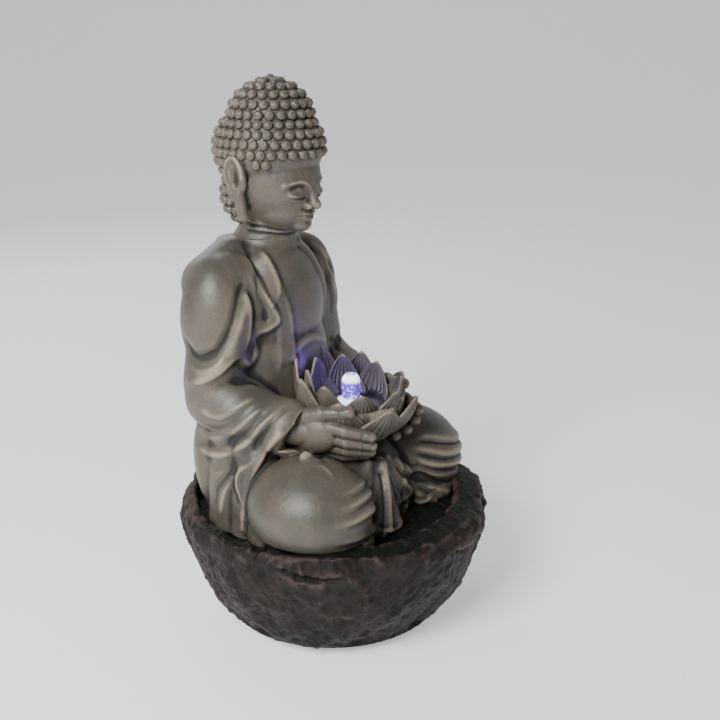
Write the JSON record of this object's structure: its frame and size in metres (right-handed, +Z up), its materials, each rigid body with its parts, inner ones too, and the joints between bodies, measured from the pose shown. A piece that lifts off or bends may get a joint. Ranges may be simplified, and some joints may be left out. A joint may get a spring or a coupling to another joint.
{
  "type": "tabletop water fountain",
  "caption": "Tabletop water fountain: a seated robed figure holds a lit lotus bowl over a rock-shaped basin with a pump inside.",
  "frame": {"origin": "on the surface the fountain stands on, under the middle of its bounding box", "axes": "+Z up, the figure faces -Y, its left side is +X"},
  "size_m": [0.2414, 0.2342, 0.4],
  "materials": {
    "stone_resin": "cast polyresin painted as weathered grey-brown stone, satin, light dry-brushed edges and dark washed recesses",
    "rock_resin": "cast polyresin painted as rough dark reddish-brown rock, satin",
    "black_plastic": "moulded black ABS",
    "grey_plastic": "moulded grey acetal",
    "clear_plastic": "clear acrylic, lit violet-white from below",
    "clear_vinyl": "soft clear vinyl",
    "rubber": "black rubber",
    "steel": "stacked electrical steel",
    "copper": "enamelled copper winding",
    "ceramic": "polished white ceramic",
    "circuit_board": "white solder mask with four violet-white chips",
    "ferrite": "sintered ferrite",
    "potting_resin": "poured black epoxy"
  },
  "bodies": {
    "root": {"basin": "rock_resin", "foot_pad_front_left": "rubber", "foot_pad_front_right": "rubber", "foot_pad_back_left": "rubber", "foot_pad_back_right": "rubber", "cord_grommet": "rubber", "inner_bush": "rubber", "outer_bush": "rubber", "suction_cup_1": "rubber", "suction_cup_2": "rubber", "suction_cup_3": "rubber", "suction_cup_4": "rubber", "lamp_lead": "rubber", "figure_body": "stone_resin", "head": "stone_resin", "right_hand": "stone_resin", "left_hand": "stone_resin", "lotus_bowl": "stone_resin", "lamp_housing": "black_plastic", "pump_housing": "black_plastic", "impeller_chamber": "black_plastic", "lamp_lens": "clear_plastic", "nozzle": "clear_plastic", "hose": "clear_vinyl", "stator_core": "steel", "stator_coil": "copper", "rotor_shaft": "ceramic", "lamp_board": "circuit_board", "potting_slab": "potting_resin"},
    "cover": {"rear_cover": "stone_resin"},
    "rotor": {"rotor_magnet": "ferrite", "impeller": "grey_plastic"},
    "strainer": {"intake_strainer": "black_plastic"},
    "dial": {"flow_dial": "grey_plastic"}
  },
  "joints": [
    {"name": "rear_cover_slide", "type": "slide", "parent": "root", "child": "cover", "axis": [0, 1, 0], "range_m": [0, 0.12]},
    {"name": "rotor_spin", "type": "hinge", "parent": "root", "child": "rotor", "pos_m": [0, 0, 0.0305], "axis": [0, 1, 0], "continuous": true},
    {"name": "strainer_pull", "type": "slide", "parent": "root", "child": "strainer", "axis": [0, 1, 0], "range_m": [0, 0.011]},
    {"name": "flow_dial_turn", "type": "hinge", "parent": "strainer", "child": "dial", "pos_m": [0, 0, 0.0305], "axis": [0, 1, 0], "range_deg": [0, 30]}
  ]
}
